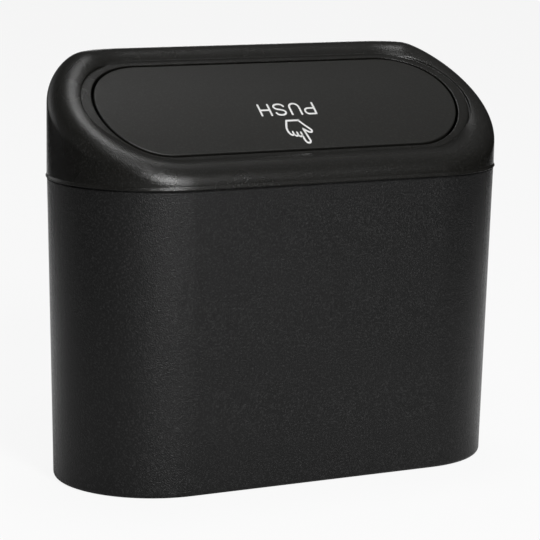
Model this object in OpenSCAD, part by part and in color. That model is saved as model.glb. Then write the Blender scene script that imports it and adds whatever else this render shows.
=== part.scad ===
// Small push-lid litter bin for a car: a tapered stadium bucket with a hanging hook,
// a plug-in lid with a rolled rim, and a sprung flap that is pushed down into it.
// X runs along the bin, +Y is the tall back of the lid, +Z is up.
// The origin is the middle of the foot ring's underside.

/* [Bucket] */
// Length of the bucket at its rim
rim_l = 150.4; // [130:0.1:180]
// Width of the bucket at its rim, front to back
rim_w = 65.2; // [60:0.1:75]
// Height of the rim above the floor
rim_h = 94.3; // [80:0.1:140]
// How far every side draws in from the rim to the base
base_inset = 2; // [1:0.1:4]
// Wall of the bucket
bucket_wall = 1.9; // [1.5:0.1:2.2]
// Floor of the bucket
floor_t = 2.2; // [1.8:0.1:3]
// Rounding of the bucket's outer bottom edge
base_edge_r = 1.4; // [0.8:0.1:1.8]
// Width of the foot ring under the base
foot_ring_w = 4; // [3:0.1:8]
// Depth of the hollow inside the foot ring
foot_hollow = 0.8; // [0.4:0.1:1]
// Diameter of the moulding gate left in the foot hollow
gate_d = 4; // [2:0.1:8]
// Height of that gate mark
gate_h = 0.4; // [0.2:0.1:0.4]
// Bevel around the rim that leaves a shadow line under the lid
rim_bevel = 0.4; // [0.2:0.1:0.8]

/* [Hook] */
// Width of the hanging hook on the back wall
hook_w = 36; // [24:1:50]
// Slot between the hook and the wall, at the top of the hook
hook_slot = 6; // [5:0.1:8]
// Thickness of the hook's tongue
hook_t = 2.6; // [2:0.1:3.5]
// Length of the tongue below the bridge
hook_reach = 30; // [20:1:36]
// Distance from the rim down to the top of the hook
hook_below_rim = 3; // [2:0.5:8]
// Radius of the tongue's two lower corners
hook_corner_r = 6; // [3:0.5:10]

/* [Lid] */
// How far the lid's wall stands proud of the bucket's rim
lid_proud = 0.1; // [0.1:0.1:0.8]
// How far the bead at the lid's lower edge stands proud of the lid's wall
lip_proud = 0.3; // [0.1:0.1:0.6]
// Height of that bead
lip_h = 1; // [0.6:0.1:1.4]
// Seam left open between the lid's wall and the bucket
seam_gap = 0.3; // [0.2:0.1:0.6]
// Wall of the lid
lid_wall = 1.8; // [1.4:0.1:2.2]
// Radius of the rolled rim
roll_r = 7.9; // [7.5:0.1:8.3]
// Height of the roll's centre above the joint at the middle of the bin
roll_mid_h = 16.7; // [16:0.1:17.5]
// Climb of the roll from front to back, in degrees
roll_slope = 33.1; // [32:0.1:35]
// Height of the roll's centre above the joint along the level back
roll_back_h = 29.7; // [28.6:0.1:30.5]
// Softness of the bend where the climb meets the level back
roll_bend = 1; // [0.5:0.1:2]
// Depth of the skirt that plugs into the bucket
skirt_h = 10; // [8:0.5:14]
// Wall of the skirt
skirt_wall = 1.7; // [1.4:0.1:2]
// Clearance between skirt and bucket at the rim
skirt_clear = 0.4; // [0.3:0.05:0.6]
// How far the skirt draws in from its top to its lower edge
skirt_draw = 0.5; // [0.3:0.1:0.8]

/* [Panel] */
// Tilt of the panel at the middle of the flap, in degrees
panel_tilt = 36.8; // [35.5:0.1:37.5]
// Position of the flap's middle towards the back
panel_y = -2.6; // [-3:0.1:-1.8]
// Height of the flap's middle above the joint
panel_h = 22; // [21.6:0.1:22.4]
// Radius to which flap and land are crowned, front to back
crown_r = 126; // [115:1:140]
// Length of the flap
flap_l = 124.9; // [116:0.1:127]
// Width of the flap along its slope
flap_w = 39.6; // [37.6:0.1:40]
// Thickness of the flap and of the land around it
panel_t = 2; // [1.8:0.1:2.2]
// Gap all round between flap and land
flap_gap = 0.7; // [0.5:0.1:0.9]
// Width of the land at the ends of the flap
land_end_w = 3.9; // [3.3:0.1:4.1]
// Width of the land along the flap's long sides
land_side_w = 2.6; // [2:0.1:2.8]
// How far the land is moved down the slope
land_shift = 1.1; // [0.8:0.1:1.3]

/* [Flap] */
// Depth of the stiffening wall under the flap's edge
flange_h = 3.4; // [2:0.1:4.5]
// Thickness of that wall
flange_t = 1.4; // [1:0.1:1.8]
// Height of the ribs across the underside
rib_h = 1.8; // [1:0.1:2]
// Thickness of those ribs
rib_t = 1.2; // [0.8:0.1:1.6]
// Distance between ribs
rib_pitch = 17; // [14:0.5:19]
// Width of each stop tab at the flap's low edge
stop_w = 9; // [6:0.5:14]
// Distance of each stop tab from the middle
stop_x = 30; // [22:1:36]
// Thickness of a stop tab
stop_t = 1.5; // [1.2:0.1:2]
// How far a stop tab reaches under the land
stop_reach = 1.6; // [1.2:0.1:2]
// Gap between a stop tab and the land above it
stop_gap = 0.25; // [0.15:0.05:0.4]

/* [Hinge] */
// Distance of the hinge axis up the slope from the flap's middle
hinge_v = 15.5; // [14.5:0.1:16]
// Depth of the hinge axis below the panel plane
hinge_depth = 6.4; // [6.2:0.1:6.8]
// Radius of the hinge pin
pin_r = 1.25; // [1:0.05:1.4]
// Radial clearance of the flap's knuckles on the pin
pin_clear = 0.08; // [0.04:0.01:0.1]
// Radial clearance of the lid's ears on the pin
ear_clear = 0.01; // [0.01:0.01:0.03]
// Outer radius of knuckles and ears
knuckle_r = 2.7; // [2.5:0.1:2.8]
// Length of each flap knuckle
knuckle_l = 7; // [5:0.5:9]
// Distance of the outer face of each knuckle from the middle
knuckle_x = 38; // [36:0.5:39]
// Thickness of each lid ear
ear_t = 3; // [2.4:0.1:4]
// Play between a knuckle and the ear beside it
side_play = 0.4; // [0.3:0.1:0.8]
// How far the pin stands out of each ear
pin_end = 0.6; // [0.4:0.1:1.5]

/* [Springs] */
// Diameter of the spring wire
wire_d = 0.8; // [0.6:0.05:0.9]
// Clearance between coil and pin
coil_clear = 0.4; // [0.3:0.05:0.5]
// Number of turns
coil_turns = 5; // [3:1:7]
// Pitch of the coil
coil_pitch = 0.95; // [0.92:0.01:1.1]
// Length of the leg under the flap
flap_leg = 13; // [9:0.5:14]
// Length of the leg under the lid
lid_leg = 6; // [5.2:0.1:6.2]
// Distance of the coil's outer end from the middle
coil_x = 26; // [25:0.5:29]

/* [Hidden] */

// Facets: exact round parts, hull-free lofts and the wire
round_fn = 96;
arc_step = 5;
roll_steps = 9;
inner_steps = 6;
wire_sides = 8;
coil_steps = 16;
eps = 0.01;

// Lid plan: its wall follows the bucket's rim
lid_l = rim_l + 2 * lid_proud;
lid_w = rim_w + 2 * lid_proud;
end_x = (lid_l - lid_w) / 2;
path_r = lid_w / 2 - roll_r;

// Thickness of the step between the roll and the land, and its least height
riser_t = lid_wall;
riser_h = 0.3;

// Panel outlines, measured on the tilted plane
open_l = flap_l + 2 * flap_gap;
open_w = flap_w + 2 * flap_gap;
land_l = open_l + 2 * land_end_w;
land_w = open_w + 2 * land_side_w;

// Skirt offsets inward from the lid's wall
skirt_out = lid_proud + bucket_wall + skirt_clear;
skirt_in = skirt_out + skirt_wall;

// Hinge, stop and spring places in the panel's own frame
pin_l = 2 * (knuckle_x + side_play + ear_t + pin_end);
coil_r = pin_r + coil_clear + wire_d / 2;
stop_v = -open_w / 2;

// A stadium: two round ends of radius r joined by straight sides
module stadium(l, w) {
    c = (l - w) / 2;
    union() {
        translate([-c, 0]) circle(r = w / 2, $fn = round_fn);
        translate([c, 0]) circle(r = w / 2, $fn = round_fn);
        square([2 * c, w], center = true);
    }
}

// A tapered stadium solid from a half section given as [distance from the edge, height]
module tapered_stadium(c, section) {
    for (side = [-1, 1])
        translate([side * c, 0, 0]) rotate_extrude($fn = round_fn) polygon(section);
    both = concat(section, [for (i = [len(section) - 1:-1:0]) [-section[i][0], section[i][1]]]);
    rotate([90, 0, 90]) linear_extrude(height = 2 * c, center = true) polygon(both);
}

// Half section of the bucket's outside, with its rounded bottom edge and bevelled rim
function bucket_section() =
    let (r0 = rim_w / 2 - base_inset, r1 = rim_w / 2, lean = base_inset / rim_h)
    concat(
        [[0, 0]],
        [for (a = [-90:15:0]) [
            r0 - base_edge_r + lean * base_edge_r + base_edge_r * cos(a),
            base_edge_r + base_edge_r * sin(a)
        ]],
        [[r1 - rim_bevel * lean, rim_h - rim_bevel], [r1 - rim_bevel, rim_h], [0, rim_h]]
    );

// Half section of the space inside the bucket
function cavity_section() =
    let (r0 = rim_w / 2 - base_inset - bucket_wall, r1 = rim_w / 2 - bucket_wall, f = base_edge_r)
    concat(
        [[0, floor_t]],
        [for (a = [-90:15:0]) [r0 - f + f * cos(a), floor_t + f + f * sin(a)]],
        [[r1, rim_h], [r1, rim_h + 1], [0, rim_h + 1]]
    );

// A hook plate seen from the back: square at the top, round at its two lower corners
module hook_outline() {
    r = hook_corner_r;
    union() {
        translate([-hook_w / 2, r - hook_reach]) square([hook_w, hook_reach - r + hook_slot / 2]);
        translate([r - hook_w / 2, -hook_reach]) square([hook_w - 2 * r, hook_reach]);
        for (side = [-1, 1])
            translate([side * (hook_w / 2 - r), r - hook_reach]) circle(r = r, $fn = round_fn);
    }
}

// The hanging hook: a bridge out from the back wall and a tongue that hangs from it
module hook() {
    wall_y = rim_w / 2;
    top_z = rim_h - hook_below_rim;
    out_r = hook_slot / 2 + hook_t;
    bridge_z = top_z - out_r;
    difference() {
        union() {
            translate([0, wall_y + hook_slot + hook_t, bridge_z]) rotate([90, 0, 0])
                linear_extrude(height = hook_t) hook_outline();
            translate([-hook_w / 2, wall_y + hook_slot / 2, bridge_z]) rotate([0, 90, 0])
                cylinder(r = out_r, h = hook_w, $fn = round_fn);
            translate([-hook_w / 2, wall_y - bucket_wall / 2, bridge_z])
                cube([hook_w, bucket_wall / 2 + hook_slot / 2, out_r]);
        }
        translate([-hook_w, wall_y + hook_slot / 2, bridge_z]) rotate([0, 90, 0])
            cylinder(r = hook_slot / 2, h = 2 * hook_w, $fn = round_fn);
        translate([-hook_w, wall_y - bucket_wall, bridge_z - 2 * out_r])
            cube([2 * hook_w, hook_slot + bucket_wall, 2 * out_r]);
    }
}

// Bucket, moulded in one with its hook
module bin_body() {
    c = (rim_l - rim_w) / 2;
    foot_w = rim_w - 2 * (base_inset + base_edge_r + foot_ring_w);
    color("#2b2b2c") difference() {
        union() {
            tapered_stadium(c, bucket_section());
            hook();
        }
        tapered_stadium(c, cavity_section());
        difference() {
            translate([0, 0, -eps]) linear_extrude(height = foot_hollow + eps)
                stadium(2 * c + foot_w, foot_w);
            cylinder(d = gate_d, h = gate_h + foot_hollow, $fn = round_fn);
        }
    }
}

// Height of the crowned surface above the tilted plane, at v up the slope
function crown(v) = sqrt(crown_r * crown_r - v * v) - crown_r;

// A point of the panel's frame (along, up the slope, outward) in the bin's frame
function on_panel(u, v, w) = [
    u,
    panel_y + v * cos(panel_tilt) - w * sin(panel_tilt),
    rim_h + panel_h + v * sin(panel_tilt) + w * cos(panel_tilt)
];

// Places things of the panel's frame
module panel_frame() {
    translate([0, panel_y, rim_h + panel_h]) rotate([panel_tilt, 0, 0]) children();
}

// Stations round the lid: [angle of the outward normal, which end]
stations = concat(
    [for (a = [-90:arc_step:90]) [a, 1]],
    [for (a = [90:arc_step:270]) [a, -1]]
);

// Point of a stadium outline at a station
function outline(l, w, s) = [
    s[1] * (l - w) / 2 + w / 2 * cos(s[0]),
    w / 2 * sin(s[0])
];

// Height of the roll's centre at y: a straight climb that bends softly into a level
function roll_z(y) =
    let (climb = roll_mid_h + tan(roll_slope) * y, gap = climb - roll_back_h)
    rim_h + (climb + roll_back_h - sqrt(gap * gap + roll_bend * roll_bend)) / 2;

// Point of the lid's plan, d inward from its wall
function plan(s, d) = outline(lid_l - 2 * d, lid_w - 2 * d, s);

// Upright point of a station, d inward from the wall and at height z
function at(s, d, z) = [plan(s, d)[0], plan(s, d)[1], z];

// Inward distance of a wall of offset t at height z, where it has begun to roll over
function roll_in(s, t, z) =
    let (r = roll_r - t, h = max(0, z - roll_z(plan(s, roll_r)[1])))
    t + r - sqrt(max(0, r * r - h * h));

// Place p seen from the middle of its own end
function from_end(s, p) = [p[0] - s[1] * end_x, p[1]];

// Height of the roll's centre beside the place p
function centre_by(s, p) =
    let (v = from_end(s, p))
    roll_z(path_r * v[1] / norm(v));

// How far the roll's outer skin stands over the place p, below zero where the place is the higher
function sink(s, p) =
    let (over = norm(from_end(s, p)) - path_r)
    centre_by(s, p) + sqrt(max(0, roll_r * roll_r - over * over)) - p[2];

// Points of the roll from height z up and over to the place p, t inside the outer skin.
// The roll stops over the place, or sooner where it comes down to the place's height.
function roll_arc(s, t, z, p, steps) =
    let (
        r = roll_r - t,
        v = from_end(s, p),
        n = [cos(s[0]), sin(s[0])],
        turn = asin((n[0] * v[1] - n[1] * v[0]) / norm(v)),
        from = asin(min(1, max(0, z - roll_z(path_r * n[1])) / r)),
        over = acos(max(-0.97, min(0.97, (norm(v) - path_r) / r))),
        down = 180 - asin(max(-0.97, min(0.97, (p[2] + riser_h - centre_by(s, p)) / r))),
        to = min(over, down)
    )
    [for (i = [0:steps])
        let (
            f = i / steps,
            a = s[0] + turn * f * f,
            phi = from + (to - from) * f,
            d = path_r + r * cos(phi)
        )
        [s[1] * end_x + d * cos(a), d * sin(a), roll_z(path_r * sin(a)) + r * sin(phi)]
    ];

// One closed section of the lid, from its lip over the roll and land and back underneath
function lid_section(s) =
    let (
        lip_z = rim_h + seam_gap,
        wall_z = lip_z + lip_h,
        brim_z = rim_h + lid_wall,
        land = outline(land_l, land_w, s),
        hole = outline(open_l, open_w, s),
        land_out = on_panel(land[0], land[1] - land_shift, crown(land[1] - land_shift)),
        riser = min(riser_t, max(0, sink(s, land_out))),
        under = outline(land_l + 2 * riser, land_w + 2 * riser, s),
        hole_out = on_panel(hole[0], hole[1], crown(hole[1])),
        hole_in = on_panel(hole[0], hole[1], crown(hole[1]) - panel_t),
        land_in = on_panel(under[0], under[1] - land_shift, crown(under[1] - land_shift) - panel_t)
    )
    concat(
        [
            at(s, rim_bevel + lid_proud, rim_h),
            at(s, rim_bevel + lid_proud, lip_z),
            at(s, -lip_proud, lip_z),
            at(s, -lip_proud, wall_z - lip_proud),
            at(s, roll_in(s, 0, wall_z), wall_z)
        ],
        roll_arc(s, 0, wall_z + 0.4, land_out, roll_steps),
        [land_out, hole_out, hole_in, land_in],
        [for (i = [inner_steps:-1:0]) roll_arc(s, lid_wall, brim_z + 0.4, land_in, inner_steps)[i]],
        [
            at(s, roll_in(s, lid_wall, brim_z), brim_z),
            at(s, skirt_in, brim_z),
            at(s, skirt_in + skirt_draw, rim_h - skirt_h),
            at(s, skirt_out + skirt_draw, rim_h - skirt_h),
            at(s, skirt_out, rim_h)
        ]
    );

// Ring-shaped solid lofted through closed sections
module loft_ring(rings) {
    n = len(rings);
    m = len(rings[0]);
    polyhedron(
        points = [for (ring = rings) for (p = ring) p],
        faces = [
            for (i = [0:n - 1]) for (j = [0:m - 1])
                let (a = i * m + j, b = i * m + (j + 1) % m, c = ((i + 1) % n) * m + (j + 1) % m,
                    d = ((i + 1) % n) * m + j)
                each [[a, b, c], [a, c, d]]
        ],
        convexity = 8
    );
}

// Ear that holds one end of the hinge pin under the lid
module lid_ear() {
    front_v = open_w / 2 + 0.3;
    land_v = open_w / 2 + land_side_w - land_shift;
    back_v = open_w / 2 + land_side_w;
    rotate([90, 0, 90]) linear_extrude(height = ear_t) difference() {
        union() {
            translate([hinge_v, -hinge_depth]) circle(r = knuckle_r, $fn = round_fn);
            polygon([
                [hinge_v, -hinge_depth - knuckle_r],
                [back_v, -hinge_depth - knuckle_r],
                [back_v, crown(back_v) - 0.8 * panel_t],
                [land_v, crown(land_v) - panel_t / 2],
                [front_v, crown(front_v) - panel_t / 2],
                [front_v, -hinge_depth],
                [hinge_v, -hinge_depth]
            ]);
        }
        translate([hinge_v, -hinge_depth]) circle(r = pin_r + ear_clear, $fn = round_fn);
    }
}

// Lid, moulded in one: skirt, rolled rim, sunk land and the two hinge ears
module lid_cover() {
    color("#262627") union() {
        loft_ring([for (s = stations) lid_section(s)]);
        panel_frame() for (side = [-1, 1])
            translate([side * (knuckle_x + side_play + ear_t / 2) - ear_t / 2, 0, 0]) lid_ear();
    }
}

// Crowned sheet between two depths below the panel's surface, over a stadium
module crowned_plate(l, w, top, t) {
    intersection() {
        translate([0, 0, -crown_r / 2]) linear_extrude(height = crown_r) stadium(l, w);
        translate([-l, 0, -crown_r]) rotate([0, 90, 0]) difference() {
            cylinder(r = crown_r - top, h = 2 * l, $fn = 4 * round_fn);
            translate([0, 0, -1]) cylinder(r = crown_r - top - t, h = 2 * l + 2, $fn = 4 * round_fn);
        }
    }
}

// Knuckle of the flap, with its web up to the plate
module flap_knuckle() {
    difference() {
        union() {
            translate([0, hinge_v, -hinge_depth]) rotate([0, 90, 0])
                cylinder(r = knuckle_r, h = knuckle_l, $fn = round_fn);
            translate([0, hinge_v - knuckle_r, -hinge_depth])
                cube([knuckle_l, 2 * knuckle_r, hinge_depth + crown(hinge_v + knuckle_r) - panel_t / 2]);
        }
        translate([-1, hinge_v, -hinge_depth]) rotate([0, 90, 0])
            cylinder(r = pin_r + pin_clear, h = knuckle_l + 2, $fn = round_fn);
    }
}

// Push flap: crowned plate, edge wall, ribs, hinge knuckles and stop tabs in one moulding
module press_flap() {
    rib_n = floor((flap_l - flap_w) / 2 / rib_pitch);
    flange_v = hinge_v - 2 * knuckle_r;
    stop_top = crown(stop_v - stop_reach) - panel_t - stop_gap;
    color("#2e2e2f") panel_frame() {
        crowned_plate(flap_l, flap_w, 0, panel_t);
        intersection() {
            difference() {
                crowned_plate(flap_l, flap_w, panel_t / 2, flange_h + panel_t / 2);
                linear_extrude(height = 4 * crown_r, center = true)
                    stadium(flap_l - 2 * flange_t, flap_w - 2 * flange_t);
            }
            translate([-flap_l, -2 * flap_w + flange_v, -crown_r])
                cube([2 * flap_l, 2 * flap_w, 2 * crown_r]);
        }
        intersection() {
            crowned_plate(flap_l - flange_t, flap_w - flange_t, panel_t / 2, rib_h + panel_t / 2);
            for (i = [-rib_n:rib_n])
                translate([i * rib_pitch - rib_t / 2, -flap_w, -crown_r])
                    cube([rib_t, flap_w + flange_v, 2 * crown_r]);
        }
        for (side = [-1, 1])
            translate([side * (knuckle_x - knuckle_l / 2) - knuckle_l / 2, 0, 0]) flap_knuckle();
        for (side = [-1, 1])
            translate([side * stop_x - stop_w / 2, stop_v - stop_reach, stop_top - stop_t])
                cube([stop_w, stop_reach + flap_gap + flange_t, stop_t]);
    }
}

// Steel pin that flap and springs turn on
module hinge_pin() {
    color("#a9abad") panel_frame() translate([-pin_l / 2, hinge_v, -hinge_depth]) rotate([0, 90, 0])
        cylinder(r = pin_r, h = pin_l, $fn = round_fn);
}

// Unit vector of a
function unit(a) = a / norm(a);

// A round wire swept along points that never run along Z
module wire(path, r) {
    n = len(path);
    m = wire_sides;
    rings = [for (i = [0:n - 1])
        let (
            t = unit(path[min(i + 1, n - 1)] - path[max(i - 1, 0)]),
            a = unit(cross(t, [1, 0, 0.001])),
            b = cross(t, a)
        )
        [for (k = [0:m - 1]) path[i] + r * (a * cos(360 * k / m) + b * sin(360 * k / m))]
    ];
    polyhedron(
        points = [for (ring = rings) for (p = ring) p],
        faces = concat(
            [[for (k = [0:m - 1]) k]],
            [for (i = [0:n - 2]) for (k = [0:m - 1])
                let (a = i * m + k, b = i * m + (k + 1) % m)
                each [[a, a + m, b + m], [a, b + m, b]]],
            [[for (k = [m - 1:-1:0]) (n - 1) * m + k]]
        ),
        convexity = 8
    );
}

// Points of one torsion spring: flap leg, coil, lid leg, from the middle outward
function spring_path() =
    let (
        turns = coil_turns,
        steps = round(turns * coil_steps),
        x0 = coil_x - turns * coil_pitch,
        flap_v = hinge_v - flap_leg,
        lid_v = hinge_v + lid_leg,
        below = panel_t + wire_d / 2 + 0.1
    )
    concat(
        [[x0, flap_v, crown(flap_v) - below]],
        [for (i = [0:steps])
            let (a = 90 - 360 * turns * i / steps)
            [
                x0 + coil_pitch * turns * i / steps,
                hinge_v + coil_r * cos(a),
                -hinge_depth + coil_r * sin(a)
            ]],
        [[coil_x, lid_v, crown(lid_v) - below]]
    );

module spring(side) {
    color("#b4b6b8") panel_frame() mirror([side < 0 ? 1 : 0, 0, 0]) wire(spring_path(), wire_d / 2);
}

module left_spring() {
    spring(-1);
}

module right_spring() {
    spring(1);
}

bin_body();
lid_cover();
press_flap();
hinge_pin();
left_spring();
right_spring();
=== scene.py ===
import math

import bmesh
import bpy
import numpy as np
from mathutils import Matrix, Vector


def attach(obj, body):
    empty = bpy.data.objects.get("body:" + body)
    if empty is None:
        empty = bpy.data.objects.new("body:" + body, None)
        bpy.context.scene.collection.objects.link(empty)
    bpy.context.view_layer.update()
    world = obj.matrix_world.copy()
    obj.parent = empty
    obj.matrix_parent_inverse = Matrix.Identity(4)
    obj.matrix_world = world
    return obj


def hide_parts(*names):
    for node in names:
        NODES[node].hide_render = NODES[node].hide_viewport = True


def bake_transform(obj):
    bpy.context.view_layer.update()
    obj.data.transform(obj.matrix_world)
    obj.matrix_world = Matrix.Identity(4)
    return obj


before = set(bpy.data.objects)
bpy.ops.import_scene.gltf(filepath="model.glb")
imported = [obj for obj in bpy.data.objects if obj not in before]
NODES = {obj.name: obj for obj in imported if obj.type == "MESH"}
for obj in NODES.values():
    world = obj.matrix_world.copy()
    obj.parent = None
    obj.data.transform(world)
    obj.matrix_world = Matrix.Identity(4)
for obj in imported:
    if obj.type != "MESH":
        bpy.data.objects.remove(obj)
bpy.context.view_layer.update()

# Sizes in millimetres, as in the part
RIM_L, RIM_W, RIM_H = 150.4, 65.2, 94.3
BUCKET_WALL, RIM_BEVEL = 1.9, 0.4
LID_PROUD, LIP_PROUD, LIP_H, SEAM_GAP, LID_WALL = 0.1, 0.3, 1.0, 0.3, 1.8
ROLL_R, ROLL_MID_H, ROLL_SLOPE, ROLL_BACK_H, ROLL_BEND = 7.9, 16.7, 33.1, 29.7, 1.0
SKIRT_H, SKIRT_WALL, SKIRT_CLEAR, SKIRT_DRAW = 10.0, 1.7, 0.4, 0.5
TILT, PANEL_Y, PANEL_H, CROWN_R = math.radians(36.8), -2.6, 22.0, 126.0
FLAP_L, FLAP_W, PANEL_T, FLAP_GAP = 124.9, 39.6, 2.0, 0.7
LAND_END_W, LAND_SIDE_W, LAND_SHIFT = 3.9, 2.6, 1.1
FLANGE_H, FLANGE_T, RIB_H, RIB_T, RIB_PITCH = 3.4, 1.4, 1.8, 1.2, 17.0
STOP_W, STOP_X, STOP_T, STOP_REACH, STOP_GAP = 9.0, 30.0, 1.5, 1.6, 0.25
HINGE_V, HINGE_DEPTH, PIN_R = 15.5, 6.4, 1.25
PIN_CLEAR, EAR_CLEAR = 0.08, 0.01
KNUCKLE_R, KNUCKLE_L, KNUCKLE_X = 2.7, 7.0, 38.0
EAR_T, SIDE_PLAY = 3.0, 0.4
WIRE_D, COIL_CLEAR, COIL_TURNS, COIL_PITCH = 0.8, 0.4, 5, 0.95
FLAP_LEG, LID_LEG, COIL_X, LEG_GAP = 13.0, 6.0, 26.0, 0.1

# Sizes of the print in millimetres
WORD_STROKE, SIGN_STROKE, FINGER_STROKE, INK_T = 0.68, 0.68, 0.6, 0.035
WORD_H, WORD_TOP = 4.7, -1.2

LID_L, LID_W = RIM_L + 2 * LID_PROUD, RIM_W + 2 * LID_PROUD
OPEN_L, OPEN_W = FLAP_L + 2 * FLAP_GAP, FLAP_W + 2 * FLAP_GAP
LAND_L, LAND_W = OPEN_L + 2 * LAND_END_W, OPEN_W + 2 * LAND_SIDE_W
END_X, PATH_R = (LID_L - LID_W) / 2, LID_W / 2 - ROLL_R
LIP_Z = RIM_H + SEAM_GAP
WALL_Z = LIP_Z + LIP_H
RISER_H = 0.3
MM = 0.001

# Stations round a stadium: the angle of the outward normal, and which end it is on
STEP = 1.5
ANGLES = np.concatenate([np.arange(-90, 90.01, STEP), np.arange(90, 270.01, STEP)])
SIDES = np.where(np.arange(len(ANGLES)) < len(ANGLES) // 2, 1.0, -1.0)
COS, SIN = np.cos(np.radians(ANGLES)), np.sin(np.radians(ANGLES))
COS[np.abs(COS) < 1e-9] = 0.0


def crown(v):
    """Height of the crowned surface over the panel plane: w = sqrt(R^2 - v^2) - R."""
    return np.sqrt(CROWN_R**2 - np.asarray(v, float) ** 2) - CROWN_R


def on_panel(u, v, w):
    """Panel frame to bin frame: x = u, y = y0 + v cos T - w sin T, z = z0 + v sin T + w cos T."""
    u, v, w = np.broadcast_arrays(np.asarray(u, float), np.asarray(v, float), np.asarray(w, float))
    return np.stack([u, PANEL_Y + v * math.cos(TILT) - w * math.sin(TILT),
                     RIM_H + PANEL_H + v * math.sin(TILT) + w * math.cos(TILT)], -1)


def outline(length, width):
    """Stadium outline at every station: x = s (L - W) / 2 + W / 2 cos a, y = W / 2 sin a."""
    return SIDES * (length - width) / 2 + width / 2 * COS, width / 2 * SIN


def roll_z(y):
    """Height of the roll's centre: soft minimum of z = h + y tan s and z = back."""
    climb = ROLL_MID_H + math.tan(math.radians(ROLL_SLOPE)) * y
    gap = climb - ROLL_BACK_H
    return RIM_H + (climb + ROLL_BACK_H - np.sqrt(gap**2 + ROLL_BEND**2)) / 2


def lid_point(inset, z):
    """The lid's plan curve, inset from its wall, at height z."""
    x, y = outline(LID_L - 2 * inset, LID_W - 2 * inset)
    return np.stack([x, y, np.broadcast_to(z, x.shape)], -1)


def roll_in(t, z):
    """Inset of a skin of offset t at height z, h over the roll's centre: t + r - sqrt(r^2 - h^2)."""
    r = ROLL_R - t
    h = np.maximum(0, z - roll_z(PATH_R * SIN))
    return t + r - np.sqrt(np.maximum(0, r * r - h * h))


def sink(end):
    """Height of the roll's outer skin over a point of every station: zc + sqrt(r^2 - d^2) - z."""
    vx, vy = end[..., 0] - SIDES * END_X, end[..., 1]
    far = np.hypot(vx, vy)
    return roll_z(PATH_R * vy / far) + np.sqrt(np.maximum(0, ROLL_R**2 - (far - PATH_R) ** 2)) - end[..., 2]


def roll_arc(t, z, end, steps):
    """Arc over the roll at every station, from height z to over the point end: (n, steps + 1, 3).
    Radius p + r cos f about the end's centre and height zc + r sin f, while the angle turns to end's own.
    It stops over the point, or sooner where it comes down to the point's height."""
    r = ROLL_R - t
    vx, vy = end[..., 0] - SIDES * END_X, end[..., 1]
    far = np.hypot(vx, vy)
    turn = np.arcsin((COS * vy - SIN * vx) / far)
    start = np.arcsin(np.clip((z - roll_z(PATH_R * SIN)) / r, 0, 1))
    over = np.arccos(np.clip((far - PATH_R) / r, -0.97, 0.97))
    down = np.pi - np.arcsin(np.clip((end[..., 2] + RISER_H - roll_z(PATH_R * vy / far)) / r, -0.97, 0.97))
    stop = np.minimum(over, down)
    f = np.linspace(0, 1, steps + 1)
    a = np.radians(ANGLES)[:, None] + turn[:, None] * f**2
    phi = start[:, None] + (stop - start)[:, None] * f
    d = PATH_R + r * np.cos(phi)
    return np.stack([SIDES[:, None] * END_X + d * np.cos(a), d * np.sin(a),
                     roll_z(PATH_R * np.sin(a)) + r * np.sin(phi)], -1)


def rounded(ring, radii, k=4, closed=True):
    """Rounds section corners at all stations at once, by curves B(t) = (1-t)^2 A + 2t(1-t) P + t^2 C."""
    count = ring.shape[1]
    out = []
    for i in range(count):
        p, r = ring[:, i], radii[i]
        if r <= 0 or (not closed and i in (0, count - 1)):
            out.append(p[:, None])
            continue
        a, b = ring[:, i - 1] - p, ring[:, (i + 1) % count] - p
        la = np.maximum(np.linalg.norm(a, axis=-1, keepdims=True), 1e-9)
        lb = np.maximum(np.linalg.norm(b, axis=-1, keepdims=True), 1e-9)
        t = np.minimum(r, 0.42 * np.minimum(la, lb))
        pa, pb = p + a / la * t, p + b / lb * t
        rows = [p + a / la * np.minimum(t * 1.35, 0.48 * la)]
        rows += [pa * (1 - q) ** 2 + 2 * p * q * (1 - q) + pb * q**2 for q in np.linspace(0, 1, k + 1)]
        rows += [p + b / lb * np.minimum(t * 1.35, 0.48 * lb)]
        out.append(np.stack(rows, 1))
    return np.concatenate(out, 1)


def grid_faces(n, m, wrap_n, wrap_m, base=0):
    """Quads of an n by m grid of points."""
    i = np.arange(n if wrap_n else n - 1)[:, None]
    j = np.arange(m if wrap_m else m - 1)[None]
    i1, j1 = (i + 1) % n, (j + 1) % m
    return np.stack([i * m + j, i1 * m + j, i1 * m + j1, i * m + j1], -1).reshape(-1, 4) + base


class Form:
    """Collects grids of points in millimetres into one mesh."""

    def __init__(self):
        self.points, self.faces, self.count = [], [], 0

    def grid(self, pts, wrap_n=False, wrap_m=True, caps=False):
        """Adds an (n, m, 3) grid as a closed skin that faces outward, with flat fans at both ends if caps."""
        n, m = pts.shape[:2]
        faces = [list(f) for f in grid_faces(n, m, wrap_n, wrap_m).tolist()]
        flat = pts.reshape(-1, 3)
        if caps:
            faces.append(list(range(m))[::-1])
            faces.append([(n - 1) * m + j for j in range(m)])
        if signed_volume(flat, faces) < 0:
            faces = [f[::-1] for f in faces]
        self.faces += [[i + self.count for i in f] for f in faces]
        self.points.append(flat)
        self.count += len(flat)

    def build(self, name, material, weld=0.0):
        """Makes the smooth-shaded object, its doubles within weld millimetres merged."""
        mesh = bpy.data.meshes.new(name)
        mesh.from_pydata((np.concatenate(self.points) * MM).tolist(), [], self.faces)
        obj = bpy.data.objects.new(name, mesh)
        bpy.context.scene.collection.objects.link(obj)
        if weld:
            bm = bmesh.new()
            bm.from_mesh(mesh)
            bmesh.ops.remove_doubles(bm, verts=bm.verts, dist=weld * MM)
            bmesh.ops.dissolve_degenerate(bm, dist=weld * MM / 2, edges=bm.edges)
            bm.to_mesh(mesh)
            bm.free()
        mesh.polygons.foreach_set("use_smooth", [True] * len(mesh.polygons))
        mesh.materials.append(material)
        mesh.update()
        return obj


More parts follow.
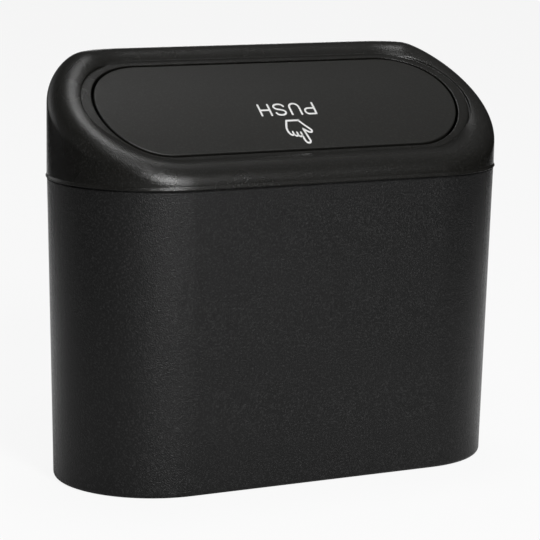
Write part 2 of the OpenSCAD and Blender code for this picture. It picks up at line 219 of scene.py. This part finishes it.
def signed_volume(pts, faces):
    """Six times the enclosed volume, with its sign."""
    total = 0.0
    quads = np.array([f for f in faces if len(f) == 4])
    if len(quads):
        a, b, c, d = (pts[quads[:, i]] for i in range(4))
        total += np.einsum("ij,ij->", a, np.cross(b, c)) + np.einsum("ij,ij->", a, np.cross(c, d))
    for f in faces:
        if len(f) != 4:
            for i in range(1, len(f) - 1):
                total += float(np.dot(pts[f[0]], np.cross(pts[f[i]], pts[f[i + 1]])))
    return total


def block(form, low, high, r=0.25, place=None):
    """A box with rounded upright edges and softened rims, lofted through rounded-rectangle rings."""
    low, high = np.array(low, float), np.array(high, float)
    (cx, cy, _), (hx, hy, _) = (low + high) / 2, (high - low) / 2
    a = np.radians(np.concatenate([np.linspace(q, q + 90, 5) for q in (0, 90, 180, 270)]))
    sx = np.sign(np.cos(np.repeat(np.radians([45, 135, 225, 315]), 5)))
    sy = np.sign(np.sin(np.repeat(np.radians([45, 135, 225, 315]), 5)))
    rings = []
    for inset, z in ((r, low[2]), (0.3 * r, low[2] + 0.3 * r), (0, low[2] + r),
                     (0, high[2] - r), (0.3 * r, high[2] - 0.3 * r), (r, high[2])):
        x = cx + sx * (hx - r) + (r - inset) * np.cos(a) * (1 if r > inset else 0)
        y = cy + sy * (hy - r) + (r - inset) * np.sin(a) * (1 if r > inset else 0)
        rings.append(np.stack([x, y, np.full_like(x, z)], -1))
    pts = np.stack(rings)
    form.grid(place(pts) if place else pts, False, True, caps=True)


def barrel(form, x0, x1, r_in, r_out, soft=0.3):
    """A bored barrel on the hinge axis: a rounded rectangle of r_in..r_out by x0..x1 turned about it."""
    ring = np.array([[[x0, r_in, 0], [x0, r_out, 0], [x1, r_out, 0], [x1, r_in, 0]]], float)
    ring = rounded(ring, [0.12, soft, soft, 0.12])[0]
    a = np.linspace(0, 2 * math.pi, 49)[:-1][:, None]
    form.grid(on_panel(ring[:, 0] + 0 * a, HINGE_V + ring[:, 1] * np.cos(a),
                       -HINGE_DEPTH + ring[:, 1] * np.sin(a)), True, True)


def panel_block(form, u, v, w, r=0.25):
    """A rounded block given by ranges in the panel's frame."""
    block(form, (u[0], v[0], w[0]), (u[1], v[1], w[1]), r,
          lambda p: on_panel(p[..., 0], p[..., 1], p[..., 2]))


def lid_ears(form):
    """The two ears that hold the pin: a bored barrel with a root under the land, at each end."""
    back = OPEN_W / 2 + LAND_SIDE_W
    low = -HINGE_DEPTH - KNUCKLE_R
    top = float(crown(back)) - PANEL_T / 2
    for side in (-1, 1):
        inner_x = side * (KNUCKLE_X + SIDE_PLAY)
        x0, x1 = sorted((inner_x, inner_x + side * EAR_T))
        barrel(form, x0, x1, PIN_R + EAR_CLEAR, KNUCKLE_R)
        panel_block(form, (x0, x1), (HINGE_V + PIN_R + 0.5, back), (low, -HINGE_DEPTH), 0.3)
        panel_block(form, (x0, x1), (OPEN_W / 2 + 0.3, back), (low, top), 0.3)


def lid_form():
    """The lid: its section of lip, wall, roll, step, land and underside, with rounded corners, carried
    round the stadium; each row is one point of the section at every station, with its corner's radius."""
    brim_z = RIM_H + LID_WALL
    skirt_out = LID_PROUD + BUCKET_WALL + SKIRT_CLEAR
    skirt_in = skirt_out + SKIRT_WALL
    foot_z = RIM_H - SKIRT_H
    lu, lv = outline(LAND_L, LAND_W)
    hu, hv = outline(OPEN_L, OPEN_W)
    lv = lv - LAND_SHIFT
    land_out, hole_out = on_panel(lu, lv, crown(lv)), on_panel(hu, hv, crown(hv))
    riser = np.clip(sink(land_out), 0, LID_WALL)
    bu, bv = lu + riser * COS, lv + riser * SIN
    hole_in, land_in = on_panel(hu, hv, crown(hv) - PANEL_T), on_panel(bu, bv, crown(bv) - PANEL_T)
    outer = roll_arc(0, WALL_Z + 0.6, land_out, 22)
    inner = roll_arc(LID_WALL, brim_z + 0.6, land_in, 12)[:, ::-1]
    parts = [
        (lid_point(RIM_BEVEL + LID_PROUD, RIM_H), 0.08),
        (lid_point(RIM_BEVEL + LID_PROUD, LIP_Z), 0.1),
        (lid_point(-LIP_PROUD, LIP_Z), 0.12),
        (lid_point(-LIP_PROUD, LIP_Z + LIP_PROUD), 0.1),
        (lid_point(roll_in(0, WALL_Z), WALL_Z), 0.15),
    ]
    parts += [(outer[:, i], 0) for i in range(22)] + [(outer[:, 22], 0.5)]
    parts += [(land_out, 0.3), (hole_out, 0.4), (hole_in, 0.2), (land_in, 0.4)]
    parts += [(inner[:, 0], 0.4)] + [(inner[:, i], 0) for i in range(1, 13)]
    parts += [
        (lid_point(roll_in(LID_WALL, brim_z), brim_z), 0.4),
        (lid_point(skirt_in, brim_z), 0.4),
        (lid_point(skirt_in + SKIRT_DRAW, foot_z), 0.3),
        (lid_point(skirt_out + SKIRT_DRAW, foot_z), 0.3),
        (lid_point(skirt_out, RIM_H), 0.08),
    ]
    form = Form()
    form.grid(rounded(np.stack([q for q, _ in parts], 1), [r for _, r in parts]), True, True)
    lid_ears(form)
    return form


def flap_row(inset, depth):
    """Points inset from the flap's outline and depth below its crown, at every station."""
    half = FLAP_W / 2
    u = SIDES * (FLAP_L - FLAP_W) / 2 + (half - inset) * COS
    v = (half - inset) * SIN
    return on_panel(u, v, crown(v) - depth)


def flap_ribs(form, v0, v1):
    """Cross ribs under the flap from v0 to v1: a chamfered section that follows the crown."""
    count = int((FLAP_L - FLAP_W) / 2 // RIB_PITCH)
    v = np.linspace(v0, v1, 24)
    half, foot = RIB_T / 2, PANEL_T + RIB_H
    section = [(-half, PANEL_T - 0.2), (half, PANEL_T - 0.2), (half - 0.15, foot - 0.12),
               (half - 0.3, foot), (0.3 - half, foot), (0.15 - half, foot - 0.12)]
    for i in range(-count, count + 1):
        ring = [on_panel(i * RIB_PITCH + side, v, crown(v) - depth) for side, depth in section]
        form.grid(np.stack(ring, 1), False, True, caps=True)


def flap_knuckles(form):
    """The two knuckles on the pin: a bored barrel with a root up to the panel."""
    top = float(crown(HINGE_V + KNUCKLE_R)) - PANEL_T / 2
    for side in (-1, 1):
        x0, x1 = sorted((side * (KNUCKLE_X - KNUCKLE_L), side * KNUCKLE_X))
        barrel(form, x0, x1, PIN_R + PIN_CLEAR, KNUCKLE_R)
        panel_block(form, (x0, x1), (HINGE_V - KNUCKLE_R, HINGE_V + KNUCKLE_R),
                    (-HINGE_DEPTH + PIN_R + 0.5, top), 0.2)


def flap_stops(form):
    """The two tabs that catch under the land at the flap's low side."""
    stop_v = -OPEN_W / 2
    top = float(crown(stop_v - STOP_REACH)) - PANEL_T - STOP_GAP
    for side in (-1, 1):
        panel_block(form, (side * STOP_X - STOP_W / 2, side * STOP_X + STOP_W / 2),
                    (stop_v - STOP_REACH, stop_v + FLAP_GAP + FLANGE_T), (top - STOP_T, top), 0.3)


def flap_form():
    """The flap: crowned top, soft edge, edge wall and underside as one skin carried round the stadium,
    with its ribs, knuckles and stops. The edge wall runs out before the knuckles."""
    half = FLAP_W / 2
    flange_v = HINGE_V - 2 * KNUCKLE_R
    ramp = np.clip((flange_v - half * SIN) / 1.2 + 0.5, 0, 1)
    deep = PANEL_T + FLANGE_H * ramp
    parts = [(flap_row(half * (1 - t), 0), 0) for t in (0, 0.2, 0.4, 0.6, 0.75, 0.87, 0.94)]
    parts += [(flap_row(0, 0), 0.55), (flap_row(0, deep), 0.25)]
    parts += [(flap_row(FLANGE_T, deep), 0.25), (flap_row(FLANGE_T, PANEL_T), 0.35)]
    parts += [(flap_row(half * (1 - t), PANEL_T), 0) for t in (0.8, 0.5, 0.25, 0)]
    section, radii = np.stack([q for q, _ in parts], 1), [r for _, r in parts]
    form = Form()
    form.grid(rounded(section, radii, k=5, closed=False), True, False)
    flap_ribs(form, -half + FLANGE_T / 2, flange_v)
    flap_knuckles(form)
    flap_stops(form)
    return form


def spring_form(side):
    """A wire of radius r swept on leg, helix and leg: (x0 + p a / 360, v + R cos a, w + R sin a)."""
    x0 = COIL_X - COIL_TURNS * COIL_PITCH
    coil_r = PIN_R + COIL_CLEAR + WIRE_D / 2
    below = PANEL_T + WIRE_D / 2 + LEG_GAP
    f = np.linspace(0, 1, COIL_TURNS * 36 + 1)
    a = math.pi / 2 - 2 * math.pi * COIL_TURNS * f
    coil = np.stack([x0 + COIL_PITCH * COIL_TURNS * f, HINGE_V + coil_r * np.cos(a),
                     -HINGE_DEPTH + coil_r * np.sin(a)], -1)
    flap_v, lid_v = HINGE_V - FLAP_LEG, HINGE_V + LID_LEG
    first = np.array([x0, flap_v, float(crown(flap_v)) - below])
    last = np.array([COIL_X, lid_v, float(crown(lid_v)) - below])
    s = np.linspace(0, 1, 13)[:, None]
    path = np.concatenate([first + (coil[0] - first) * s[:-1], coil, coil[-1] + (last - coil[-1]) * s[1:]])
    path = on_panel(side * path[:, 0], path[:, 1], path[:, 2])
    tangent = np.gradient(path, axis=0)
    tangent /= np.linalg.norm(tangent, axis=-1, keepdims=True)
    n1 = np.cross(tangent, [1.0, 0, 0.001])
    n1 /= np.linalg.norm(n1, axis=-1, keepdims=True)
    n2 = np.cross(tangent, n1)
    k = np.linspace(0, 2 * math.pi, 15)[:-1][None, :, None]
    radius = np.full(len(path), WIRE_D / 2)
    radius[[0, -1]] *= 0.7
    ring = path[:, None] + radius[:, None, None] * (n1[:, None] * np.cos(k) + n2[:, None] * np.sin(k))
    form = Form()
    form.grid(ring, False, True, caps=True)
    return form


def smooth(points, closed=False, k=6):
    """Cubic through each span b c, with neighbours a and d: tangents (c - a) / 2 and (d - b) / 2."""
    p = np.array(points, float)
    if closed:
        q = np.concatenate([p[-1:], p, p[:2]])
    else:
        q = np.concatenate([2 * p[:1] - p[1:2], p, 2 * p[-1:] - p[-2:-1]])
    t = np.linspace(0, 1, k, endpoint=False)[:, None]
    out = []
    for i in range(1, len(q) - 2):
        a, b, c, d = q[i - 1], q[i], q[i + 1], q[i + 2]
        square, cube = 2 * a - 5 * b + 4 * c - d, 3 * b - 3 * c + d - a
        out.append(0.5 * (2 * b + (c - a) * t + square * t**2 + cube * t**3))
    if not closed:
        out.append(p[-1:])
    return np.concatenate(out)


def dense(points, step=0.25):
    """A polyline with points at most step apart."""
    p = np.array(points, float)
    out = [p[:1]]
    for a, b in zip(p[:-1], p[1:]):
        n = max(1, int(np.linalg.norm(b - a) / step))
        out.append(a + (b - a) * np.linspace(0, 1, n + 1)[1:, None])
    return np.concatenate(out)


def stroke(form, path, width, closed=False):
    """A printed stroke: a thin ribbon on the flap's crown along path (u, v), with round ends."""
    p = np.array(path, float)
    half = np.full(len(p), width / 2)
    if closed:
        t = np.roll(p, -1, 0) - np.roll(p, 1, 0)
    else:
        t = np.gradient(p, axis=0)
    t /= np.linalg.norm(t, axis=-1, keepdims=True)
    if not closed:
        quarter = np.radians([80, 60, 40, 20])
        reach = np.sin(quarter)[:, None] * width / 2
        head, tail = p[0] - t[0] * reach, p[-1] + t[-1] * reach[::-1]
        ends = np.cos(quarter) * width / 2
        p = np.concatenate([head, p, tail])
        t = np.concatenate([np.repeat(t[:1], 4, 0), t, np.repeat(t[-1:], 4, 0)])
        half = np.concatenate([ends, half, ends[::-1]])
    n = np.stack([-t[:, 1], t[:, 0]], -1) * half[:, None]
    rows = []
    for side, h in ((1, -0.05), (1, INK_T), (-1, INK_T), (-1, -0.05)):
        q = p + side * n
        rows.append(on_panel(q[:, 0], q[:, 1], crown(q[:, 1]) + h))
    form.grid(np.stack(rows, 1), closed, True, caps=not closed)


def arc(cx, cy, r, a0, a1, n=14):
    """Points of a circular arc in degrees."""
    a = np.radians(np.linspace(a0, a1, n))
    return [(cx + r * math.cos(b), cy + r * math.sin(b)) for b in a]


def word_form():
    """The word PUSH in plain single-stroke capitals, upright for a reader at the high side."""
    bowl = [(-8.1, WORD_H)] + arc(-8.1, 3.48, 1.22, 88, -88) + [(-8.1, 2.26), (-10.4, 2.26)]
    snake = smooth([(3.4, 3.75), (2.9, 4.42), (1.75, WORD_H), (0.55, 4.4), (0.05, 3.55), (0.6, 2.78),
                    (1.75, 2.38), (2.95, 1.98), (3.5, 1.2), (3.0, 0.33), (1.75, 0.0), (0.55, 0.3),
                    (0.02, 0.98)])
    letters = [
        [(-10.4, 0), (-10.4, WORD_H)] + bowl,
        [(-5.3, WORD_H), (-5.3, 1.66)] + arc(-3.62, 1.66, 1.68, 180, 360) + [(-1.94, WORD_H)],
        snake,
        [(5.3, 0), (5.3, WORD_H)],
        [(8.7, 0), (8.7, WORD_H)],
        [(5.3, 2.4), (8.7, 2.4)],
    ]
    form = Form()
    for path in letters:
        q = dense(path)
        stroke(form, np.stack([-q[:, 0], WORD_TOP - q[:, 1]], -1), WORD_STROKE)
    return form


def hand_form():
    """A plain pointing hand in outline, the forefinger towards the flap's low edge."""
    cuff = [(-1.35, -8.4), (-1.3, -8.42), (2.75, -8.42), (2.8, -8.45)]
    thumb = [(4.0, -10.2), (5.5, -12.1), (5.95, -12.9), (5.55, -13.5), (4.6, -13.25), (3.25, -12.1),
             (3.2, -12.12)]
    forefinger = [(3.5, -13.6), (3.95, -16.2), (4.05, -16.9), (3.7, -17.5), (3.05, -17.6), (2.5, -17.15),
                  (2.2, -16.2), (2.0, -14.75)]
    knuckles = [(1.97, -14.72), (1.3, -15.0), (0.68, -14.55), (0.64, -14.5), (-0.05, -14.72), (-0.7, -14.2),
                (-0.74, -14.15), (-1.5, -14.3)]
    palm = [(-2.15, -13.5), (-2.4, -12.3), (-2.25, -10.9), (-1.38, -8.45)]
    creases = [
        [(2.0, -14.7), (1.9, -13.4)],
        [(0.66, -14.5), (0.55, -13.3)],
        [(-0.72, -14.15), (-0.85, -13.0)],
    ]
    form = Form()
    stroke(form, smooth(cuff + thumb + forefinger + knuckles + palm, True), SIGN_STROKE, closed=True)
    for path in creases:
        stroke(form, dense(path), FINGER_STROKE)
    return form


# Materials
def grain_group():
    """Shared moulded texture: a bumpy normal, a speckle mask and a broad mask, from object coordinates."""
    g = bpy.data.node_groups.new("moulded_grain", "ShaderNodeTree")
    for name, value in (("Scale", 1400.0), ("Depth", 0.5)):
        s = g.interface.new_socket(name, in_out="INPUT", socket_type="NodeSocketFloat")
        s.default_value = value
    g.interface.new_socket("Normal", in_out="OUTPUT", socket_type="NodeSocketVector")
    g.interface.new_socket("Speckle", in_out="OUTPUT", socket_type="NodeSocketFloat")
    g.interface.new_socket("Broad", in_out="OUTPUT", socket_type="NodeSocketFloat")
    n, link = g.nodes, g.links
    inp, out = n.new("NodeGroupInput"), n.new("NodeGroupOutput")
    coord = n.new("ShaderNodeTexCoord")
    fine = n.new("ShaderNodeTexNoise")
    fine.inputs["Detail"].default_value = 3.0
    fine.inputs["Roughness"].default_value = 0.62
    link.new(coord.outputs["Object"], fine.inputs["Vector"])
    link.new(inp.outputs["Scale"], fine.inputs["Scale"])
    pits = n.new("ShaderNodeTexVoronoi")
    pits.feature = "SMOOTH_F1"
    pits.inputs["Smoothness"].default_value = 0.4
    link.new(coord.outputs["Object"], pits.inputs["Vector"])
    link.new(inp.outputs["Scale"], pits.inputs["Scale"])
    mix = n.new("ShaderNodeMath")
    mix.operation = "MULTIPLY_ADD"
    mix.inputs[1].default_value = 0.6
    link.new(pits.outputs["Distance"], mix.inputs[0])
    link.new(fine.outputs["Fac"], mix.inputs[2])
    bump = n.new("ShaderNodeBump")
    bump.inputs["Distance"].default_value = 0.00016
    link.new(inp.outputs["Depth"], bump.inputs["Strength"])
    link.new(mix.outputs[0], bump.inputs["Height"])
    link.new(bump.outputs["Normal"], out.inputs["Normal"])
    wider = n.new("ShaderNodeMath")
    wider.operation = "MULTIPLY"
    wider.inputs[1].default_value = 0.7
    link.new(inp.outputs["Scale"], wider.inputs[0])
    dust = n.new("ShaderNodeTexNoise")
    dust.inputs["Detail"].default_value = 1.0
    link.new(coord.outputs["Object"], dust.inputs["Vector"])
    link.new(wider.outputs[0], dust.inputs["Scale"])
    speck = n.new("ShaderNodeMapRange")
    speck.inputs["From Min"].default_value = 0.5
    speck.inputs["From Max"].default_value = 0.74
    link.new(dust.outputs["Fac"], speck.inputs["Value"])
    link.new(speck.outputs["Result"], out.inputs["Speckle"])
    broad = n.new("ShaderNodeTexNoise")
    broad.inputs["Scale"].default_value = 34.0
    broad.inputs["Detail"].default_value = 2.0
    link.new(coord.outputs["Object"], broad.inputs["Vector"])
    link.new(broad.outputs["Fac"], out.inputs["Broad"])
    return g


GRAIN = grain_group()


def new_material(name):
    m = bpy.data.materials.new(name)
    m.use_nodes = True
    m.node_tree.nodes.clear()
    shader = m.node_tree.nodes.new("ShaderNodeBsdfPrincipled")
    out = m.node_tree.nodes.new("ShaderNodeOutputMaterial")
    m.node_tree.links.new(shader.outputs[0], out.inputs["Surface"])
    return m, m.node_tree, shader


def plastic(name, dark, light, rough, scale, depth, spread=0.05, glaze=0.22):
    """Black moulded plastic: a speckled colour, a fine bump, and a roughness that drifts over the surface
    and falls at a grazing view, where such grain looks glossier."""
    m, tree, shader = new_material(name)
    g = tree.nodes.new("ShaderNodeGroup")
    g.node_tree = GRAIN
    g.inputs["Scale"].default_value = scale
    g.inputs["Depth"].default_value = depth
    color = tree.nodes.new("ShaderNodeMix")
    color.data_type = "RGBA"
    color.inputs["A"].default_value = (*dark, 1)
    color.inputs["B"].default_value = (*light, 1)
    tree.links.new(g.outputs["Speckle"], color.inputs["Factor"])
    tree.links.new(color.outputs["Result"], shader.inputs["Base Color"])
    r = tree.nodes.new("ShaderNodeMapRange")
    r.inputs["To Min"].default_value = rough - spread
    r.inputs["To Max"].default_value = rough + spread
    tree.links.new(g.outputs["Broad"], r.inputs["Value"])
    facing = tree.nodes.new("ShaderNodeLayerWeight")
    facing.inputs["Blend"].default_value = 0.5
    edge = tree.nodes.new("ShaderNodeMapRange")
    edge.inputs["From Min"].default_value = 0.45
    edge.inputs["From Max"].default_value = 0.9
    edge.inputs["To Max"].default_value = -glaze
    tree.links.new(facing.outputs["Facing"], edge.inputs["Value"])
    total = tree.nodes.new("ShaderNodeMath")
    tree.links.new(r.outputs["Result"], total.inputs[0])
    tree.links.new(edge.outputs["Result"], total.inputs[1])
    tree.links.new(total.outputs[0], shader.inputs["Roughness"])
    tree.links.new(g.outputs["Normal"], shader.inputs["Normal"])
    return m


def steel(name, color, rough, streak):
    """Drawn steel: fine streaks along X in colour and roughness."""
    m, tree, shader = new_material(name)
    coord = tree.nodes.new("ShaderNodeTexCoord")
    mapping = tree.nodes.new("ShaderNodeMapping")
    mapping.inputs["Scale"].default_value = streak
    noise = tree.nodes.new("ShaderNodeTexNoise")
    noise.inputs["Scale"].default_value = 1.0
    noise.inputs["Detail"].default_value = 4.0
    tree.links.new(coord.outputs["Object"], mapping.inputs["Vector"])
    tree.links.new(mapping.outputs["Vector"], noise.inputs["Vector"])
    ramp = tree.nodes.new("ShaderNodeMix")
    ramp.data_type = "RGBA"
    ramp.inputs["A"].default_value = (*[0.8 * c for c in color], 1)
    ramp.inputs["B"].default_value = (*color, 1)
    tree.links.new(noise.outputs["Fac"], ramp.inputs["Factor"])
    tree.links.new(ramp.outputs["Result"], shader.inputs["Base Color"])
    r = tree.nodes.new("ShaderNodeMapRange")
    r.inputs["To Min"].default_value = rough - 0.08
    r.inputs["To Max"].default_value = rough + 0.08
    tree.links.new(noise.outputs["Fac"], r.inputs["Value"])
    tree.links.new(r.outputs["Result"], shader.inputs["Roughness"])
    shader.inputs["Metallic"].default_value = 1.0
    return m


def ink(name):
    """White pad-printed ink, thin enough that the grain under it shows."""
    m, tree, shader = new_material(name)
    g = tree.nodes.new("ShaderNodeGroup")
    g.node_tree = GRAIN
    g.inputs["Scale"].default_value = 2600.0
    g.inputs["Depth"].default_value = 0.12
    color = tree.nodes.new("ShaderNodeMix")
    color.data_type = "RGBA"
    color.inputs["A"].default_value = (0.95, 0.95, 0.945, 1)
    color.inputs["B"].default_value = (0.86, 0.86, 0.855, 1)
    tree.links.new(g.outputs["Speckle"], color.inputs["Factor"])
    tree.links.new(color.outputs["Result"], shader.inputs["Base Color"])
    tree.links.new(g.outputs["Normal"], shader.inputs["Normal"])
    shader.inputs["Roughness"].default_value = 0.5
    return m


BODY = plastic("body_plastic", (0.0058, 0.0058, 0.0058), (0.026, 0.026, 0.026), 0.38, 2500, 0.8)
LID = plastic("lid_plastic", (0.0074, 0.0072, 0.006), (0.0224, 0.022, 0.0205), 0.28, 2800, 0.38)
FLAP = plastic("flap_plastic", (0.0097, 0.0095, 0.008), (0.0185, 0.0182, 0.0165), 0.46, 2300, 0.3)
STEEL = steel("pin_steel", (0.6, 0.6, 0.61), 0.3, (40, 2500, 2500))
WIRE = steel("spring_wire", (0.66, 0.66, 0.67), 0.27, (900, 900, 900))
PRINT = ink("print_white")

for node, material in (("bin_body", BODY), ("hinge_pin", STEEL)):
    data = NODES[node].data
    for i in range(len(data.materials)):
        data.materials[i] = material

lid = lid_form().build("lid_shell", LID)
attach(lid, "lid")
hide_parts("lid_cover")

flap = flap_form().build("flap_panel", FLAP, weld=0.002)
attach(flap, "flap")
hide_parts("press_flap")

for name, form in (("push_word", word_form()), ("hand_sign", hand_form())):
    piece = form.build(name, PRINT)
    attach(piece, "flap")

# A spring's turns twist between its flap leg and its lid leg; this length at each end doesn't
for name, node, side in (("wire_left", "left_spring", -1), ("wire_right", "right_spring", 1)):
    spring = spring_form(side).build(name, WIRE)
    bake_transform(spring)
    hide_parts(node)

# Stage: directions seen from above, the first along the camera's view and the second across it
ALONG, ACROSS = (0.46, 0.88, 0), (0.88, -0.46, 0)
WHITE = (1, 1, 1, 1)


def wire_math(tree, operation, *values):
    """One Math node fed by sockets or numbers."""
    node = tree.nodes.new("ShaderNodeMath")
    node.operation = operation
    for i, value in enumerate(values):
        if isinstance(value, (int, float)):
            node.inputs[i].default_value = value
        else:
            tree.links.new(value, node.inputs[i])
    return node.outputs[0]


def wire_dot(tree, vector, axis):
    """Scalar product of a vector socket and a fixed axis."""
    node = tree.nodes.new("ShaderNodeVectorMath")
    node.operation = "DOT_PRODUCT"
    node.inputs[1].default_value = axis
    tree.links.new(vector, node.inputs[0])
    return node.outputs["Value"]


def wire_ramp(tree, value, low, high):
    """Smooth step of a socket from 0 at low to 1 at high."""
    node = tree.nodes.new("ShaderNodeMapRange")
    node.interpolation_type = "SMOOTHSTEP"
    node.inputs["From Min"].default_value = low
    node.inputs["From Max"].default_value = high
    tree.links.new(value, node.inputs["Value"])
    return node.outputs["Result"]


def wire_mix(tree, share, first, second, output):
    """Mixes two shaders by share and sends them to a new output node."""
    mixer = tree.nodes.new("ShaderNodeMixShader")
    tree.links.new(share, mixer.inputs["Fac"])
    tree.links.new(first.outputs[0], mixer.inputs[1])
    tree.links.new(second.outputs[0], mixer.inputs[2])
    tree.links.new(mixer.outputs[0], tree.nodes.new(output).inputs["Surface"])


def seen_share(tree, path, camera_share, mirror_share):
    """How much of the white background a ray sees: one share for camera rays, one for mirrored and
    refracted rays."""
    either = wire_math(tree, "MAXIMUM", path.outputs["Is Glossy Ray"], path.outputs["Is Transmission Ray"])
    mirrored = wire_math(tree, "MULTIPLY", either, mirror_share)
    return wire_math(tree, "MULTIPLY_ADD", path.outputs["Is Camera Ray"], camera_share, mirrored)


def pale_floor(half=6.0):
    """White to the camera. To the object it is a pale sheet along the view, which mirrored rays see as white
    behind the object, and dark beside the sheet."""
    mesh = bpy.data.meshes.new("floor")
    corners = [(-half, -half, 0), (half, -half, 0), (half, half, 0), (-half, half, 0)]
    mesh.from_pydata(corners, [], [(0, 1, 2, 3)])
    floor = bpy.data.objects.new("floor", mesh)
    bpy.context.scene.collection.objects.link(floor)
    material = bpy.data.materials.new("floor_white")
    material.use_nodes = True
    tree = material.node_tree
    tree.nodes.clear()
    spot = tree.nodes.new("ShaderNodeTexCoord").outputs["Object"]
    beyond = wire_ramp(tree, wire_dot(tree, spot, ALONG), -0.06, 0.1)
    aside = wire_ramp(tree, wire_math(tree, "ABSOLUTE", wire_dot(tree, spot, ACROSS)), 0.2, 0.42)
    sheet = wire_math(tree, "SUBTRACT", 1.0, aside)
    behind = wire_math(tree, "MULTIPLY", sheet, beyond)
    path = tree.nodes.new("ShaderNodeLightPath")
    pale = tree.nodes.new("ShaderNodeMix")
    pale.data_type = "RGBA"
    pale.inputs["B"].default_value = (0.9, 0.9, 0.9, 1)
    tree.links.new(wire_math(tree, "MULTIPLY_ADD", sheet, 0.45, 0.02), pale.inputs["A"])
    tree.links.new(path.outputs["Is Camera Ray"], pale.inputs["Factor"])
    diffuse = tree.nodes.new("ShaderNodeBsdfDiffuse")
    tree.links.new(pale.outputs["Result"], diffuse.inputs["Color"])
    glow = tree.nodes.new("ShaderNodeEmission")
    glow.inputs["Color"].default_value = WHITE
    glow.inputs["Strength"].default_value = 1.0
    share = seen_share(tree, path, 0.9, wire_math(tree, "MULTIPLY", behind, 0.44))
    wire_mix(tree, share, diffuse, glow, "ShaderNodeOutputMaterial")
    mesh.materials.append(material)


def photo_camera():
    """The camera at the photograph's angle: its heading, height and roll in degrees, its distance from the
    middle of the object, and its shifts to the right and up, in millimetres."""
    azimuth, elevation, roll = (math.radians(d) for d in (-27.504, 10.230, 0.904))
    distance, middle_z, shift_right, shift_up = 784.31, 65.11, -1.333, -2.902
    frame_px, focal_px, sensor_mm = 540, 2465.41, 36
    back = Vector((math.sin(azimuth) * math.cos(elevation), -math.cos(azimuth) * math.cos(elevation),
                   math.sin(elevation)))
    flat_right = (-back).cross(Vector((0, 0, 1))).normalized()
    flat_up = flat_right.cross(-back)
    right = math.cos(roll) * flat_right + math.sin(roll) * flat_up
    up = -math.sin(roll) * flat_right + math.cos(roll) * flat_up
    place = back * distance + Vector((0, 0, middle_z)) + right * shift_right + up * shift_up
    data = bpy.data.cameras.new("camera")
    data.sensor_width = sensor_mm
    data.lens = focal_px / frame_px * sensor_mm
    data.clip_start = 0.01
    camera = bpy.data.objects.new("camera", data)
    camera.matrix_world = Matrix.Translation(place * MM) @ Matrix((right, up, back)).transposed().to_4x4()
    bpy.context.scene.collection.objects.link(camera)
    bpy.context.scene.camera = camera


def studio_world():
    """White to the camera. To the object each lobe adds a brightness gain max(0, d . axis)^power: bright
    behind the object, and dim at its left and above."""
    lobes = (
        (ALONG, 2.2, 120.0),
        ((-0.35, 0.93, 0), 0.7, 20.0),
        ((-1, 0.1, 0.1), 0.17, 6.0),
        ((0.2, 0, 1), 0.24, 3.0),
    )
    world = bpy.data.worlds.new("studio")
    bpy.context.scene.world = world
    world.use_nodes = True
    tree = world.node_tree
    tree.nodes.clear()
    sky = tree.nodes.new("ShaderNodeTexCoord").outputs["Generated"]
    level = 0.0
    for axis, gain, power in lobes:
        ahead = wire_math(tree, "MAXIMUM", wire_dot(tree, sky, Vector(axis).normalized()), 0.0)
        level = wire_math(tree, "MULTIPLY_ADD", wire_math(tree, "POWER", ahead, power), gain, level)
    room, white = tree.nodes.new("ShaderNodeBackground"), tree.nodes.new("ShaderNodeBackground")
    room.inputs["Color"].default_value = WHITE
    white.inputs["Color"].default_value = WHITE
    tree.links.new(level, room.inputs["Strength"])
    share = seen_share(tree, tree.nodes.new("ShaderNodeLightPath"), 1.0, 0.02)
    wire_mix(tree, share, room, white, "ShaderNodeOutputWorld")


def softbox(name, place, size, watts):
    """A square area light at place that faces the middle of the object."""
    data = bpy.data.lights.new(name, "AREA")
    data.shape = "SQUARE"
    data.size, data.energy = size, watts
    lamp = bpy.data.objects.new(name, data)
    away = (Vector(place) - Vector((0, 0, 0.07))).normalized()
    lamp.matrix_world = Matrix.Translation(Vector(place)) @ away.to_track_quat("Z", "Y").to_matrix().to_4x4()
    bpy.context.scene.collection.objects.link(lamp)


pale_floor()
photo_camera()
studio_world()
softbox("low_key_box", (-0.106, -1.217, 0.515), 0.22, 4.6)
softbox("high_key_box", (-0.039, -1.125, 0.72), 0.22, 6.3)
softbox("left_box", (-0.248, -0.558, 1.218), 0.3, 1.65)
softbox("top_box", (0.077, 0.212, 1.35), 0.35, 2.9)

view = bpy.context.scene.view_settings
view.view_transform = "Standard"
